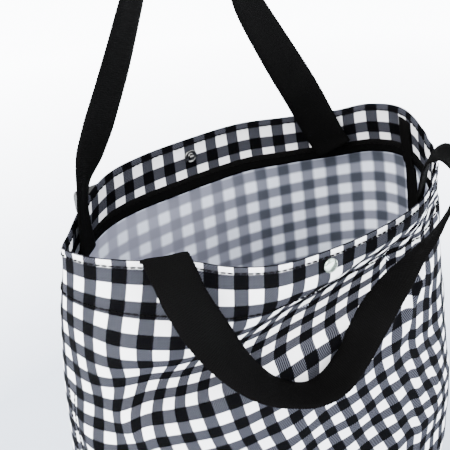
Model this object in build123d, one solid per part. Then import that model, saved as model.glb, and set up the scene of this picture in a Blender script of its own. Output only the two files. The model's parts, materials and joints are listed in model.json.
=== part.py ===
"""Folding shopping trolley: a gingham tote bag on a flat folding two-wheel frame.

Millimetres, +X to the right, -Y to the front of the bag, +Z up, ground at Z = 0.
The origin is the centre of the footprint of the whole trolley. The bag is drawn in its own
frame, with its origin at the centre of the rim, and then stood on the platform.
"""
from build123d import *
from math import copysign, cos, pi, sin
import os

os.makedirs("parts", exist_ok=True)

# ---------------------------------------------------------------- driving dimensions
RIM_Z = 490.0               # height of the bag's rim centre above the ground
BAG_Y = -27.0               # centre of the bag, in front of the trolley's own centre

# bag body, in bag coordinates: height, half width, front depth, back depth, roundness
BAG_SECTIONS = [
    (26.0, 149.0, 83.0, 92.0, 2.25),
    (0.0, 149.0, 84.0, 92.0, 2.25),
    (-60.0, 157.0, 91.0, 91.0, 2.3),
    (-150.0, 163.0, 97.0, 90.0, 2.5),
    (-280.0, 160.0, 93.0, 90.0, 3.2),
    (-414.0, 118.0, 60.0, 90.0, 4.5),
]
BAG_FLOOR = -414.0          # underside of the bag, 2 mm above the platform
SECTION_POINTS = 36
FABRIC = 2.0                # panel, outer fabric and its coating
LINING_GAP = 0.2            # between two layers that lie on each other
FACING = 1.0
FACING_DEPTH = 33.0         # turned-in fabric below the rim
BINDING = 1.6
BINDING_DEPTH = 12.0        # tape over the facing's lower edge
SEAM_TAPE = 10.0            # width of the tape on each side seam
RIM_LEFT, RIM_MID, RIM_RIGHT = 8.0, -4.0, 15.0    # how high the rim stands along the bag
RIM_SLOPE = 8.0 / 88.0      # the back of the rim is higher than the front

WEBBING_W = 30.0            # handle webbing
WEBBING_T = 2.4
SNAP_DROP = 15.5            # snap fastener, below the rim
SNAP_X = 9.0
SNAP_R = 6.2

# telescopic frame
TUBE_X = 75.0
TUBE_Y = BAG_Y + 114.0
OUTER_R, OUTER_BORE = 10.0, 8.8
MIDDLE_R, MIDDLE_BORE = 8.0, 7.0
INNER_R, INNER_BORE = 6.0, 5.0
SLIDE_GAP = 0.3
TUBE_FOOT, TUBE_TOP = 38.0, 394.0
LOWER_COLLAR = (372.0, 398.0)
MIDDLE_COLLAR = (398.6, 412.0)
MIDDLE_FOOT, MIDDLE_TOP = 60.0, 408.0
INNER_FOOT, INNER_TOP = 64.0, 450.0
GRIP_Z = (440.0, 466.0)
GRIP_HALF = 92.0
GRIP_DEPTH = 26.0
BUTTON_HALF = 17.0
PIN_R, PIN_LENGTH = 2.5, 5.0
PIN_DRAWN_IN = 0.9          # how far the tips stand off the next tube's wall
MIDDLE_PIN_Z, INNER_PIN_Z = 68.0, 82.0
ROD_R = 2.0

# running gear
WHEEL_R = 50.0
WHEEL_X = 124.0
TYRE_W = 22.0
HUB_R = 38.0
BOSS_R, BOSS_W = 11.0, 28.0
BUSH_R = 6.5
AXLE_R = 4.0
AXLE_Y = TUBE_Y + 20.0
AXLE_END = 141.0
PIVOT_GAP = 0.1

# lower bracket and folding platform
BRACKET_X = 98.0
BRACKET_Y = (TUBE_Y - 12.0, AXLE_Y + 12.0)
BRACKET_Z = (34.0, 88.0)
HINGE_Y = BAG_Y + 62.0
HINGE_Z = 66.0
HINGE_PIN_R = 3.0
ARM_X, ARM_T, ARM_R = 60.0, 3.0, 8.0
KNUCKLE_R, KNUCKLE_W = 7.0, 22.0
PLATE_X = 105.0
PLATE_LEN = 142.0
PLATE_Z = (62.0, 74.0)
PLATE_SKIN = 4.0
PLATE_BACK = 9.5            # clear of the hinge arms
LEG_X, LEG_INSET = 84.0, 16.0
LEG_R = 8.0
PAD_R, PAD_H = 10.5, 12.0
BOARD = (190.0, 96.5, 3.0)
LOOP_HEIGHTS = (180.0, 350.0)
LOOP_W, LOOP_T = 20.0, 1.6


# ---------------------------------------------------------------- helpers
def save(name, shape):
    """Write one sub-part; its file name is its node name."""
    shape.label = name
    export_step(shape, f"parts/{name}.step")


def block(x, y, z):
    """A box between three pairs of limits."""
    size = (x[1] - x[0], y[1] - y[0], z[1] - z[0])
    centre = ((x[0] + x[1]) / 2, (y[0] + y[1]) / 2, (z[0] + z[1]) / 2)
    return Pos(*centre) * Box(*size)


def rod(radius, start, end):
    """A round bar between two points that share two coordinates."""
    start, end = Vector(*start), Vector(*end)
    span = end - start
    return Plane(origin=start, z_dir=span) * Cylinder(
        radius, span.length, align=(Align.CENTER, Align.CENTER, Align.MIN))


def tube(radius, bore, x, foot, top):
    """A vertical tube of the telescopic frame."""
    solid = rod(radius, (x, TUBE_Y, foot), (x, TUBE_Y, top))
    return solid - rod(bore, (x, TUBE_Y, foot - 1), (x, TUBE_Y, top + 1))


def soften(shape, radius, edges=None):
    """Round the given edges, or every edge."""
    return fillet(edges if edges is not None else shape.edges(), radius)


# ---------------------------------------------------------------- bag surfaces
def section_at(height):
    """Half width, front depth, back depth and roundness of the bag at a height."""
    rows = BAG_SECTIONS
    for upper, lower in zip(rows, rows[1:]):
        if height >= lower[0]:
            share = (upper[0] - height) / (upper[0] - lower[0])
            return [a + (b - a) * share for a, b in zip(upper[1:], lower[1:])]
    return list(rows[-1][1:])


def section_wire(row, inset):
    """One closed section of the bag, moved in by the inset."""
    height, half, front, back, roundness = row
    points = []
    for k in range(SECTION_POINTS):
        angle = 2 * pi * k / SECTION_POINTS
        c, s = cos(angle), sin(angle)
        depth = (back if s > 0 else front) - inset
        x = (half - inset) * copysign(abs(c) ** (2 / roundness), c)
        y = depth * copysign(abs(s) ** (2 / roundness), s)
        points.append((x, y, height))
    return Wire([Edge.make_spline(points, periodic=True)])


def bag_body(inset, floor=BAG_FLOOR):
    """The bag as a solid block, its wall moved in by the inset."""
    body = Solid.make_loft([section_wire(row, inset) for row in BAG_SECTIONS])
    return body & block((-200, 200), (-200, 200), (floor, 60))


def above_rim(drop):
    """Everything above the wavy rim, or above a line that runs lower by the drop."""
    reach = 240.0
    line = Spline((-reach, RIM_LEFT - drop + 9), (-149, RIM_LEFT - drop), (0, RIM_MID - drop),
                  (149, RIM_RIGHT - drop), (reach, RIM_RIGHT - drop + 9))
    lid = Polyline((reach, RIM_RIGHT - drop + 9), (reach, 90), (-reach, 90),
                   (-reach, RIM_LEFT - drop + 9))
    profile = Plane.XZ * make_face([line, lid])
    start = Pos(0, -200, -200 * RIM_SLOPE) * profile
    return extrude(start, amount=400, dir=(0, 1, RIM_SLOPE))


def stand(shape):
    """Move a piece from bag coordinates to the trolley."""
    return Pos(0, BAG_Y, RIM_Z) * shape


def halves(shell):
    """The front and the back half of a shell, parted at the side seams."""
    front = shell & block((-200, 200), (-200, -0.05), (-420, 60))
    back = shell & block((-200, 200), (0.05, 200), (-420, 60))
    return front, back


def wall_y(x, height, side):
    """Where the bag's outer wall stands at x: side -1 is the front, 1 the back."""
    half, front, back, roundness = section_at(height)
    depth = back if side > 0 else front
    return side * depth * (1 - abs(x / half) ** roundness) ** (1 / roundness)


def rim_height(x, y):
    """Height of the rim line over a point."""
    span = x / 149.0
    bow = (RIM_LEFT + RIM_RIGHT) / 2 - RIM_MID
    return RIM_MID + bow * span ** 2 + (RIM_RIGHT - RIM_LEFT) / 2 * span + y * RIM_SLOPE


def ribbon(stations, width=WEBBING_W, thickness=WEBBING_T):
    """A strap through stations of (centre, direction of its width)."""
    centres = [Vector(*centre) for centre, _ in stations]
    faces = []
    for k, (_, across) in enumerate(stations):
        ahead = centres[min(k + 1, len(centres) - 1)]
        behind = centres[max(k - 1, 0)]
        along = (ahead - behind).normalized()
        across = Vector(*across)
        across = (across - along * across.dot(along)).normalized()
        normal = along.cross(across)
        w, t = across * (width / 2), normal * (thickness / 2)
        c = centres[k]
        faces.append(Face(Wire.make_polygon([c - w - t, c + w - t, c + w + t, c - w + t])))
    return Solid.make_loft([face.outer_wire() for face in faces], ruled=True)


# ---------------------------------------------------------------- bag pieces
def make_bag_shell():
    """Front and back panels, and the separate bottom panel."""
    below = block((-240, 240), (-240, 240), (-420, 90)) - above_rim(0)
    shell = bag_body(0, BAG_FLOOR) - bag_body(FABRIC, BAG_FLOOR - 5)
    shell = shell & below
    front, back = halves(shell)
    save("front_panel", stand(front))
    save("back_panel", stand(back))
    floor_block = block((-200, 200), (-200, 200), (BAG_FLOOR, BAG_FLOOR + FABRIC))
    bottom = bag_body(FABRIC + LINING_GAP) & floor_block
    save("bottom_panel", stand(bottom))


def make_rim_lining():
    """The turned-in facing, the binding tape under it, and the side seam tapes."""
    inner = FABRIC + LINING_GAP
    facing = bag_body(inner) - bag_body(inner + FACING)
    facing = facing - above_rim(1.0) - (block((-240, 240), (-240, 240), (-420, 90))
                                        - above_rim(FACING_DEPTH))
    front, back = halves(facing)
    save("front_facing", stand(front))
    save("back_facing", stand(back))
    tape = bag_body(inner) - bag_body(inner + BINDING)
    lower_line = FACING_DEPTH + BINDING_DEPTH
    binding = tape - above_rim(FACING_DEPTH + 0.1)
    binding = binding - (block((-240, 240), (-240, 240), (-420, 90)) - above_rim(lower_line))
    front, back = halves(binding)
    save("front_binding", stand(front))
    save("back_binding", stand(back))
    for name, x in (("left", (-200, 0)), ("right", (0, 200))):
        band = block(x, (-SEAM_TAPE / 2, SEAM_TAPE / 2), (BAG_FLOOR + 6, 60))
        strip = (tape & band) - above_rim(lower_line + 0.3)
        save(f"seam_tape_{name}", stand(strip))


def make_handles():
    """Two webbing handles: the back one stands up, the front one hangs over the front."""
    back = [
        ((-114, 49, -43), (0.65, 0.76, 0.0)),
        ((-112, 53, -8), (0.6, 0.8, 0.0)),
        ((-107, 55, 16), (0.6, 0.75, -0.3)),
        ((-98, 57, 36), (0.71, 0.5, -0.5)),
        ((-87, 59, 55), (0.87, 0.3, -0.38)),
        ((-67, 62, 91), (0.86, 0.36, -0.36)),
        ((-46, 64, 135), (0.81, 0.49, -0.31)),
        ((-34, 65, 161), (0.6, 0.75, -0.25)),
        ((-18, 66, 184), (0.3, 0.95, -0.1)),
        ((0, 66, 194), (0.05, 1.0, 0.0)),
        ((17, 66, 182), (0.3, 0.95, 0.1)),
        ((31, 65, 152), (0.6, 0.7, 0.3)),
        ((45, 64, 113), (0.83, 0.38, 0.41)),
        ((66, 63, 72), (0.87, 0.1, 0.4)),
        ((90, 60, 26), (0.85, -0.3, 0.3)),
        ((107, 53, -14), (0.8, -0.58, 0.1)),
        ((113, 48, -40), (0.76, -0.64, 0.0)),
    ]
    save("back_handle", stand(ribbon(back)))
    front = [
        ((-99, -42, -38), (0.93, -0.37, 0.0)),
        ((-100, -45, -6), (0.93, -0.37, 0.0)),
        ((-101, -49, 7), (0.93, -0.37, 0.0)),
        ((-102, -56, 9), (0.93, -0.37, 0.0)),
        ((-103, -66, 3), (0.95, -0.25, 0.0)),
        ((-103, -78, -9), (0.97, -0.05, 0.1)),
        ((-98, -92, -28), (0.87, 0.1, 0.4)),
        ((-89, -103, -48), (0.8, 0.5, 0.25)),
        ((-76, -109, -67), (0.65, 0.72, 0.1)),
        ((-57, -112, -85), (0.45, 0.88, -0.1)),
        ((-34, -114, -97), (0.25, 0.95, -0.1)),
        ((-14, -114, -95), (0.1, 1.0, 0.0)),
        ((2, -114, -79), (0.03, 1.0, 0.04)),
        ((20, -113, -57), (0.0, 1.0, 0.05)),
        ((37, -112, -41), (0.11, 0.98, -0.14)),
        ((57, -109, -29), (0.4, 0.84, -0.34)),
        ((82, -104, -19), (0.56, 0.68, -0.48)),
        ((101, -98, -9), (0.62, 0.62, -0.48)),
        ((114, -90, 4), (0.75, 0.5, -0.3)),
        ((117, -79, 15), (0.85, 0.5, -0.05)),
        ((114, -68, 15), (0.85, 0.5, 0.0)),
        ((111, -61, 2), (0.83, 0.55, 0.0)),
        ((109, -57, -38), (0.8, 0.6, 0.0)),
    ]
    save("front_handle", stand(ribbon(front)))


def make_snap():
    """The four pieces of the snap fastener: cap and socket in front, stud and post behind."""
    height = rim_height(SNAP_X, -84) - SNAP_DROP
    outer = wall_y(SNAP_X, height, -1) - 0.6
    inner = outer + FABRIC + FACING + 1.9

    def disc(radius, y, length):
        return rod(radius, (SNAP_X, y, height), (SNAP_X, y + length, height))

    cap = disc(SNAP_R, outer - 2.4, 2.4)
    cap = soften(cap, 1.2, cap.edges().group_by(Axis.Y)[0])
    save("snap_cap", stand(cap))
    socket = disc(SNAP_R - 0.8, inner, 3.0) - disc(2.1, inner + 0.6, 3.0)
    save("snap_socket", stand(socket))
    height = rim_height(SNAP_X, 92) - SNAP_DROP
    outer = wall_y(SNAP_X, height, 1) + 0.6
    inner = outer - FABRIC - FACING - 1.9
    stud = disc(5.3, inner, -1.4) + disc(2.0, inner - 1.4, -2.6)
    save("snap_stud", stand(stud))
    post = disc(5.8, outer, 1.6)
    post = soften(post, 0.8, post.edges().group_by(Axis.Y)[-1])
    save("snap_post", stand(post))


def make_frame_loops():
    """Webbing loops sewn to the bag's back, closed round the outer tubes."""
    back = BAG_Y + 90.0 + 0.6
    for name, x in (("left", -TUBE_X), ("right", TUBE_X)):
        loops = []
        for height in LOOP_HEIGHTS:
            low, high = height - LOOP_W / 2, height + LOOP_W / 2
            ring = rod(OUTER_R + 0.4 + LOOP_T, (x, TUBE_Y, low), (x, TUBE_Y, high))
            tab = block((x - LOOP_T, x + LOOP_T), (back, TUBE_Y), (low, high))
            foot = block((x - 16, x + 16), (back, back + LOOP_T), (low, high))
            bore = rod(OUTER_R + 0.4, (x, TUBE_Y, low - 1), (x, TUBE_Y, high + 1))
            loops.append((ring + tab + foot) - bore)
        save(f"frame_loops_{name}", Compound(children=[Compound(loop.wrapped) for loop in loops]))


# ---------------------------------------------------------------- telescopic frame
def make_tubes():
    """Outer, middle and inner tubes of both sides, with their guide bushes."""
    for name, x, out in (("left", -TUBE_X, -1), ("right", TUBE_X, 1)):
        save(f"outer_tube_{name}", tube(OUTER_R, OUTER_BORE, x, TUBE_FOOT, TUBE_TOP))
        far = x + out * 12
        middle = tube(MIDDLE_R, MIDDLE_BORE, x, MIDDLE_FOOT, MIDDLE_TOP)
        middle = middle - rod(PIN_R + 0.1, (x, TUBE_Y, MIDDLE_PIN_Z), (far, TUBE_Y, MIDDLE_PIN_Z))
        save(f"middle_tube_{name}", middle)
        inner = tube(INNER_R, INNER_BORE, x, INNER_FOOT + 8, INNER_TOP)
        inner = inner - rod(PIN_R + 0.1, (x, TUBE_Y, INNER_PIN_Z), (far, TUBE_Y, INNER_PIN_Z))
        save(f"inner_tube_{name}", inner)
        save(f"middle_bush_{name}", tube(OUTER_BORE - SLIDE_GAP, MIDDLE_R, x, 78.0, 98.0))
        save(f"inner_bush_{name}", tube(MIDDLE_BORE - SLIDE_GAP, INNER_R, x, 92.0, 110.0))


def make_lock_pins():
    """Sprung pins in the feet of the middle and inner tubes, drawn in clear of the walls."""
    for name, x, out in (("left", -TUBE_X, -1), ("right", TUBE_X, 1)):
        for stage, reach, z in (("middle", OUTER_BORE, MIDDLE_PIN_Z),
                                ("inner", MIDDLE_BORE, INNER_PIN_Z)):
            tip = reach - PIN_DRAWN_IN
            pin = rod(PIN_R, (x + out * (tip - PIN_LENGTH), TUBE_Y, z), (x + out * tip, TUBE_Y, z))
            save(f"lock_pin_{stage}_{name}", pin)


def make_collars():
    """The two crosspieces that hold the tube pairs together at their tops."""
    for name, limits, bore, seat, seat_top in (
            ("lower_collar", LOWER_COLLAR, MIDDLE_R + SLIDE_GAP, OUTER_R, TUBE_TOP),
            ("middle_collar", MIDDLE_COLLAR, INNER_R + SLIDE_GAP, MIDDLE_R, MIDDLE_TOP)):
        half = TUBE_X + 15
        body = block((-half, half), (TUBE_Y - 13, TUBE_Y + 13), limits)
        body = soften(body, 6.0, body.edges().filter_by(Axis.Z))
        body = soften(body, 2.0, body.edges().group_by(Axis.Z)[-1])
        waist = block((-TUBE_X + 18, TUBE_X - 18), (TUBE_Y + 7, TUBE_Y + 20),
                      (limits[0] - 1, limits[1] + 1))
        body = body - waist
        for x in (-TUBE_X, TUBE_X):
            body = body - rod(bore, (x, TUBE_Y, limits[0] - 1), (x, TUBE_Y, limits[1] + 1))
            body = body - rod(seat, (x, TUBE_Y, limits[0] - 1), (x, TUBE_Y, seat_top))
        save(name, body)


def make_grip():
    """Two grip shells round a hollow, the release button with its slider, rods and spring."""
    z = GRIP_Z
    outer = block((-GRIP_HALF, GRIP_HALF), (TUBE_Y - GRIP_DEPTH / 2, TUBE_Y + GRIP_DEPTH / 2), z)
    outer = soften(outer, 9.0, outer.edges().filter_by(Axis.X))
    outer = soften(outer, 3.0, outer.edges().group_by(Axis.X)[0])
    outer = soften(outer, 3.0, outer.edges().group_by(Axis.X)[-1])
    hollow = block((-GRIP_HALF + 4, GRIP_HALF - 4), (TUBE_Y - 8, TUBE_Y + 8), (z[0] + 3, z[1] - 3))
    slot = block((-BUTTON_HALF - 0.4, BUTTON_HALF + 0.4), (TUBE_Y - 5.4, TUBE_Y + 5.4),
                 (z[1] - 4, z[1] + 2))
    shell = outer - hollow - slot
    for x in (-TUBE_X, TUBE_X):
        boss = block((x - 10, x + 10), (TUBE_Y - 8, TUBE_Y + 8), (z[0] + 3, INNER_TOP))
        shell = shell + boss
        shell = shell - rod(INNER_R, (x, TUBE_Y, z[0] - 1), (x, TUBE_Y, INNER_TOP + 0.5))
    screw_spots = (-45.0, 45.0)
    for x in screw_spots:
        shell = shell + block((x - 4, x + 4), (TUBE_Y - 9, TUBE_Y + 9), (z[0] + 2, z[0] + 8.5))
        shell = shell - rod(1.6, (x, TUBE_Y - 8, z[0] + 5.5), (x, TUBE_Y + 20, z[0] + 5.5))
        shell = shell - rod(3.2, (x, TUBE_Y + 9.5, z[0] + 5.5), (x, TUBE_Y + 20, z[0] + 5.5))
    front = shell & block((-120, 120), (TUBE_Y - 40, TUBE_Y - 0.05), (400, 500))
    back = shell & block((-120, 120), (TUBE_Y + 0.05, TUBE_Y + 40), (400, 500))
    save("grip_front_shell", front)
    save("grip_back_shell", back)
    screws = [rod(1.5, (x, TUBE_Y - 7.5, z[0] + 5.5), (x, TUBE_Y + 9.6, z[0] + 5.5))
              + rod(3.0, (x, TUBE_Y + 9.6, z[0] + 5.5), (x, TUBE_Y + 11.6, z[0] + 5.5))
              for x in screw_spots]
    save("grip_screws", Compound(children=[Compound(screw.wrapped) for screw in screws]))
    button = block((-BUTTON_HALF, BUTTON_HALF), (TUBE_Y - 5, TUBE_Y + 5), (z[1] - 8, z[1] + 5))
    button = soften(button, 2.5, button.edges().group_by(Axis.Z)[-1])
    slider = block((-TUBE_X - 5, TUBE_X + 5), (TUBE_Y - 4.5, TUBE_Y + 4.5), (z[1] - 10, z[1] - 7))
    save("release_button", button + slider)
    for name, x in (("left", -TUBE_X), ("right", TUBE_X)):
        rod_foot = INNER_PIN_Z + PIN_R + 6.0
        save(f"push_rod_{name}", rod(ROD_R, (x, TUBE_Y, rod_foot), (x, TUBE_Y, z[1] - 10)))
    coil = Edge.make_helix(pitch=2.2, height=11.0, radius=2.6, center=(0, TUBE_Y, z[0] + 4.0))
    wire_end = Plane(origin=coil @ 0, z_dir=coil % 0)
    spring = sweep(wire_end * Circle(0.4), path=coil)
    save("button_spring", spring)


# ---------------------------------------------------------------- running gear
def make_lower_bracket():
    """The moulded crosspiece that holds the tube feet, the axle and the hinge arms."""
    body = block((-BRACKET_X, BRACKET_X), BRACKET_Y, BRACKET_Z)
    body = soften(body, 8.0, body.edges().filter_by(Axis.X).group_by(Axis.Y)[-1])
    body = soften(body, 4.0, body.edges().filter_by(Axis.Z))
    pocket = block((-TUBE_X + 20, TUBE_X - 20), (TUBE_Y + 2, AXLE_Y + 20), (BRACKET_Z[0] + 30, 95))
    body = body - pocket
    for x in (-1, 1):
        snout = rod(8.0, (x * (BRACKET_X - 2), AXLE_Y, WHEEL_R),
                    (x * (WHEEL_X - BOSS_W / 2 - 0.5), AXLE_Y, WHEEL_R))
        body = body + snout
        body = body - rod(OUTER_R, (x * TUBE_X, TUBE_Y, TUBE_FOOT), (x * TUBE_X, TUBE_Y, 120))
    body = body - rod(AXLE_R, (-160, AXLE_Y, WHEEL_R), (160, AXLE_Y, WHEEL_R))
    save("axle_bracket", body)
    save("axle", rod(AXLE_R, (-AXLE_END, AXLE_Y, WHEEL_R), (AXLE_END, AXLE_Y, WHEEL_R)))


def ring_section(points):
    """A turned piece about X from an outline of (x, radius) points."""
    outline = make_face(Polyline(*points, close=True))
    return revolve(outline, Axis.X)


def make_wheel(name, side):
    """Tyre, moulded hub with lightening holes, bush, and the cap that keeps the wheel on."""
    half = TYRE_W / 2
    tyre = ring_section([(-half, HUB_R), (half, HUB_R), (half, WHEEL_R - 5), (half - 3, WHEEL_R - 1.5),
                         (half - 7, WHEEL_R), (-half + 7, WHEEL_R), (-half + 3, WHEEL_R - 1.5),
                         (-half, WHEEL_R - 5)])
    hub = ring_section([(-BOSS_W / 2, BUSH_R), (BOSS_W / 2, BUSH_R), (BOSS_W / 2, BOSS_R), (3, BOSS_R + 3),
                        (2.5, HUB_R - 6), (half - 1, HUB_R - 4), (half - 1, HUB_R), (-half + 1, HUB_R),
                        (-half + 1, HUB_R - 4), (-2.5, HUB_R - 6), (-3, BOSS_R + 3),
                        (-BOSS_W / 2, BOSS_R)])
    hole_circle = (BOSS_R + HUB_R - 3) / 2
    for k in range(6):
        angle = pi * k / 3
        centre = (hole_circle * cos(angle), hole_circle * sin(angle))
        hub = hub - rod(5.5, (-12, *centre), (12, *centre))
    bush = ring_section([(-BOSS_W / 2, AXLE_R + PIVOT_GAP), (BOSS_W / 2, AXLE_R + PIVOT_GAP),
                         (BOSS_W / 2, BUSH_R), (-BOSS_W / 2, BUSH_R)])
    place = Pos(side * WHEEL_X, AXLE_Y, WHEEL_R)
    save(f"tyre_{name}", place * tyre)
    save(f"wheel_hub_{name}", place * hub)
    save(f"hub_bush_{name}", place * bush)
    inner = WHEEL_X + BOSS_W / 2 + 0.5
    cap = rod(9.0, (side * inner, AXLE_Y, WHEEL_R), (side * (inner + 5.5), AXLE_Y, WHEEL_R))
    cap = soften(cap, 2.5, cap.edges().group_by(Axis.X)[-1 if side > 0 else 0])
    cap = cap - rod(AXLE_R, (side * (inner - 1), AXLE_Y, WHEEL_R), (side * AXLE_END, AXLE_Y, WHEEL_R))
    save(f"axle_cap_{name}", cap)


# ---------------------------------------------------------------- folding platform
def make_hinge():
    """Two steel arms screwed to the bracket, and the pin that the platform turns on."""
    screws = []
    front = BRACKET_Y[0]
    for name, side in (("left", -1), ("right", 1)):
        near, far = ARM_X, ARM_X + ARM_T
        blade = block((near, far), (HINGE_Y, front - 0.1), (HINGE_Z - ARM_R, HINGE_Z + ARM_R))
        blade = blade + rod(ARM_R, (near, HINGE_Y, HINGE_Z), (far, HINGE_Y, HINGE_Z))
        flange = block((near - 26, far), (front - 3.1, front - 0.1), (HINGE_Z - 18, HINGE_Z + 12))
        arm = blade + flange
        arm = arm - rod(HINGE_PIN_R, (near - 5, HINGE_Y, HINGE_Z), (far + 5, HINGE_Y, HINGE_Z))
        for z in (HINGE_Z - 12, HINGE_Z + 4):
            arm = arm - rod(2.1, (near - 15, front - 10, z), (near - 15, front + 2, z))
        if side < 0:
            arm = mirror(arm, about=Plane.YZ)
        save(f"hinge_arm_{name}", arm)
        for z in (HINGE_Z - 12, HINGE_Z + 4):
            x = side * (near - 15)
            head = rod(4.0, (x, front - 5.3, z), (x, front - 3.2, z))
            screws.append(head + rod(2.0, (x, front - 5.3, z), (x, front - 0.1, z)))
    save("hinge_screws", Compound(children=[Compound(screw.wrapped) for screw in screws]))
    end = ARM_X + ARM_T + 2.5
    pin = rod(HINGE_PIN_R, (-end, HINGE_Y, HINGE_Z), (end, HINGE_Y, HINGE_Z))
    for side in (-1, 1):
        pin = pin + rod(4.6, (side * (ARM_X + ARM_T + 0.3), HINGE_Y, HINGE_Z), (side * end, HINGE_Y, HINGE_Z))
    save("hinge_pin", pin)


def make_platform():
    """The ribbed platform with its knuckles and legs, the rubber feet and the bag's board."""
    back = HINGE_Y - PLATE_BACK
    front = HINGE_Y - PLATE_LEN
    skirt = block((-PLATE_X, PLATE_X), (front, back), PLATE_Z)
    skirt = soften(skirt, 12.0, skirt.edges().filter_by(Axis.Z).group_by(Axis.Y)[0])
    inside = block((-PLATE_X + 3, PLATE_X - 3), (front + 3, back - 3),
                   (PLATE_Z[0] - 1, PLATE_Z[1] - PLATE_SKIN))
    inside = soften(inside, 9.0, inside.edges().filter_by(Axis.Z).group_by(Axis.Y)[0])
    plate = skirt - inside
    for x in (-70, -35, 0, 35, 70):
        plate = plate + block((x - 1.25, x + 1.25), (front + 1, back - 1), (PLATE_Z[0] + 1, PLATE_Z[1] - 1))
    for k in (1, 2, 3):
        y = front + k * (back - front) / 4
        plate = plate + block((-PLATE_X + 1, PLATE_X - 1), (y - 1.25, y + 1.25),
                              (PLATE_Z[0] + 1, PLATE_Z[1] - 1))
    leg_y = front + LEG_INSET
    for side in (-1, 1):
        plate = plate + rod(LEG_R, (side * LEG_X, leg_y, 3.0), (side * LEG_X, leg_y, PLATE_Z[1] - 1))
        knuckle_x = sorted((side * (ARM_X - 0.5), side * (ARM_X - 0.5 - KNUCKLE_W)))
        knuckle = rod(KNUCKLE_R, (knuckle_x[0], HINGE_Y, HINGE_Z), (knuckle_x[1], HINGE_Y, HINGE_Z))
        web = block(knuckle_x, (back - 2, HINGE_Y), (PLATE_Z[0] + 1, HINGE_Z + 6))
        plate = plate + knuckle + web
    bore = rod(HINGE_PIN_R + PIVOT_GAP, (-90, HINGE_Y, HINGE_Z), (90, HINGE_Y, HINGE_Z))
    plate = plate - bore
    save("platform", plate)
    for name, side in (("left", -1), ("right", 1)):
        pad = rod(PAD_R, (side * LEG_X, leg_y, 0), (side * LEG_X, leg_y, PAD_H))
        pad = soften(pad, 1.5, pad.edges().group_by(Axis.Z)[0])
        pad = pad - rod(LEG_R, (side * LEG_X, leg_y, 3.0), (side * LEG_X, leg_y, PAD_H + 1))
        save(f"foot_pad_{name}", pad)
    board_z = RIM_Z + BAG_FLOOR + FABRIC + 1.0
    centre_y = HINGE_Y - PLATE_BACK - BOARD[1] / 2
    board = block((-BOARD[0] / 2, BOARD[0] / 2), (centre_y - BOARD[1] / 2, centre_y + BOARD[1] / 2),
                  (board_z, board_z + BOARD[2]))
    board = soften(board, 14.0, board.edges().filter_by(Axis.Z))
    save("base_board", board)


make_bag_shell()
make_rim_lining()
make_handles()
make_snap()
make_frame_loops()
make_tubes()
make_lock_pins()
make_collars()
make_grip()
make_lower_bracket()
for wheel_name, wheel_side in (("left", -1), ("right", 1)):
    make_wheel(wheel_name, wheel_side)
make_hinge()
make_platform()
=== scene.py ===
"""Folding shopping trolley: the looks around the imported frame.

The bag is drawn in millimetres in bag coordinates, with its origin at the centre of the rim, and
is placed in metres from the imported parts.
"""
import json
import bmesh
import bpy
import numpy as np
from math import cos, pi, radians, sin
from mathutils import Matrix, Vector


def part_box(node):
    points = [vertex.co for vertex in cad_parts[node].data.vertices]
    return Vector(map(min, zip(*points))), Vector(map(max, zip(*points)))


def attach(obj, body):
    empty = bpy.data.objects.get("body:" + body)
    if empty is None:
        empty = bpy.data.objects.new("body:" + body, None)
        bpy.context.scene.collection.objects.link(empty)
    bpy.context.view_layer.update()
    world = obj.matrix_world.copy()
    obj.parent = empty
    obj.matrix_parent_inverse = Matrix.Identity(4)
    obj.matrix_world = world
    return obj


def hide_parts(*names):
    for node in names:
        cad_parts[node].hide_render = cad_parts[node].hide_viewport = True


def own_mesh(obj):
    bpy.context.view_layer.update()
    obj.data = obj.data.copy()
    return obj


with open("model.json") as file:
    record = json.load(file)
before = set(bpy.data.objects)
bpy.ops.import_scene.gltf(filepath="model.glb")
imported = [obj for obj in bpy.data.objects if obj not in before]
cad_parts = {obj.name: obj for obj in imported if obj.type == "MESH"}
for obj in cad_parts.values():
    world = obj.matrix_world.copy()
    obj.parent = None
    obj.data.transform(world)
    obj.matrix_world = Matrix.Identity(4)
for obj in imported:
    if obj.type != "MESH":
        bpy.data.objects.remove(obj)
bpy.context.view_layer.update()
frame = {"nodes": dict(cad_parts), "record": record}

MM = 0.001

# ------------------------------------------------------------ bag geometry, in millimetres
PANEL = 386.0                # flat width of the front and of the back, from seam to seam
DEPTH = 412.0                # rim to bottom
SQUARE = 10.0                # one gingham square
WALL = 1.2                   # how thick the cloth and its coating are drawn
FACING_DEPTH, BINDING_DEPTH = 33.0, 12.0
STITCH_LINES = (5.5, 34.0)   # depth of the two lines of stitches below the rim

# The rim seen from above, from the left seam to the right one: x, y and height. These points are
# a least-squares fit to positions measured in the photo, rounded to whole millimetres.
RIM_FRONT = [(-148, 0, 8), (-139, -26, 12), (-114, -43, 8), (-87, -51, 1), (-61, -67, -7),
             (-30, -80, -11), (10, -84, -13), (50, -84, -13), (92, -74, -16), (121, -59, -14),
             (142, -38, -3), (148, 0, 15)]
RIM_BACK = [(-148, 0, 8), (-143, 19, 0), (-132, 36, -4), (-108, 62, 0), (-79, 79, 6),
            (-44, 90, 5), (0, 93, 4), (46, 91, 3), (84, 77, 2), (115, 54, 6), (137, 31, 14),
            (148, 0, 15)]
# below the rim: depth, half width, front, back, roundness
SECTIONS = [(60, 157, 90, 91, 2.3), (150, 165, 96, 90, 2.5), (280, 165, 96, 90, 3.2),
            (DEPTH, 118, 60, 90, 4.6)]
SAMPLES = 194                # points along each half section
CURVE_STEPS = 24             # points between two given points of a curve
RIM_FLARE = 0.15             # how much of the slope below it the wall has at the rim


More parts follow.
